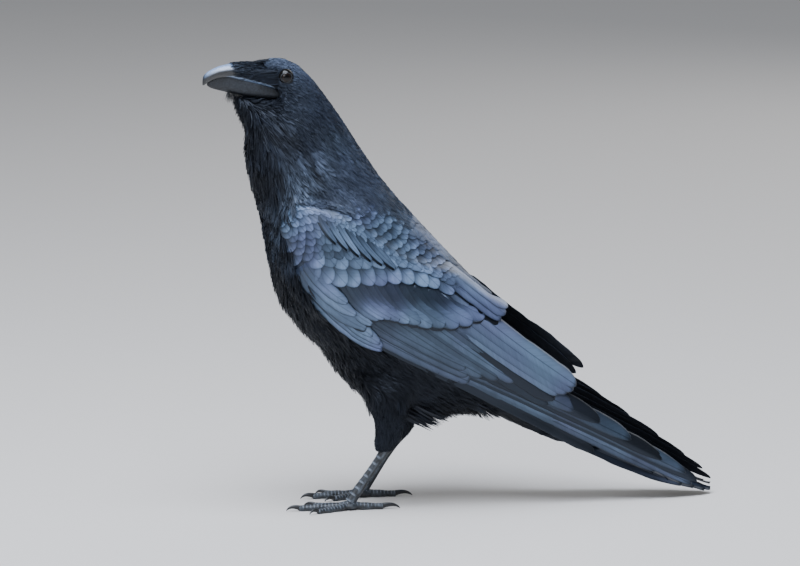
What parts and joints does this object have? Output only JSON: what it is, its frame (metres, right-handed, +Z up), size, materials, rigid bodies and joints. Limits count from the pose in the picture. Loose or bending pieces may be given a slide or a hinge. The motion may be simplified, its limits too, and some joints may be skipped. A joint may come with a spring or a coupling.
{
  "type": "raven",
  "caption": "Common raven standing at rest, head up, heavy bill closed, wings folded, long wedge-shaped tail sloping down to the ground.",
  "frame": {"origin": "on the ground, under the middle of the box that holds the bird", "axes": "+Z up, the bird faces -X with its tail towards +X, and its left side is -Y"},
  "size_m": [0.4646, 0.1398, 0.406],
  "materials": {
    "plumage": "black body feathers with a faint blue-violet gloss",
    "flight_feathers": "smooth black wing and tail feathers with a blue-grey sheen",
    "horn": "polished black horn of bill and claws",
    "eye": "wet, very dark brown eye",
    "leg_scales": "scaly black skin with a slight shine"
  },
  "bodies": {
    "root": {"bill_upper": "horn", "bill_lower": "horn", "eye_l": "eye", "eye_r": "eye", "head": "plumage", "neck": "plumage", "trunk": "plumage", "tail_coverts": "plumage", "tail": "flight_feathers", "wing_l_coverts": "plumage", "wing_l_secondaries": "flight_feathers", "wing_l_primaries": "flight_feathers", "thigh_l": "plumage", "tarsus_l": "leg_scales", "toe1_l": "leg_scales", "claw_toe1_l": "horn", "toe2_l": "leg_scales", "claw_toe2_l": "horn", "toe3_l": "leg_scales", "claw_toe3_l": "horn", "toe4_l": "leg_scales", "claw_toe4_l": "horn", "wing_r_coverts": "plumage", "wing_r_secondaries": "flight_feathers", "wing_r_primaries": "flight_feathers", "thigh_r": "plumage", "tarsus_r": "leg_scales", "toe1_r": "leg_scales", "claw_toe1_r": "horn", "toe2_r": "leg_scales", "claw_toe2_r": "horn", "toe3_r": "leg_scales", "claw_toe3_r": "horn", "toe4_r": "leg_scales", "claw_toe4_r": "horn"}
  },
  "joints": []
}
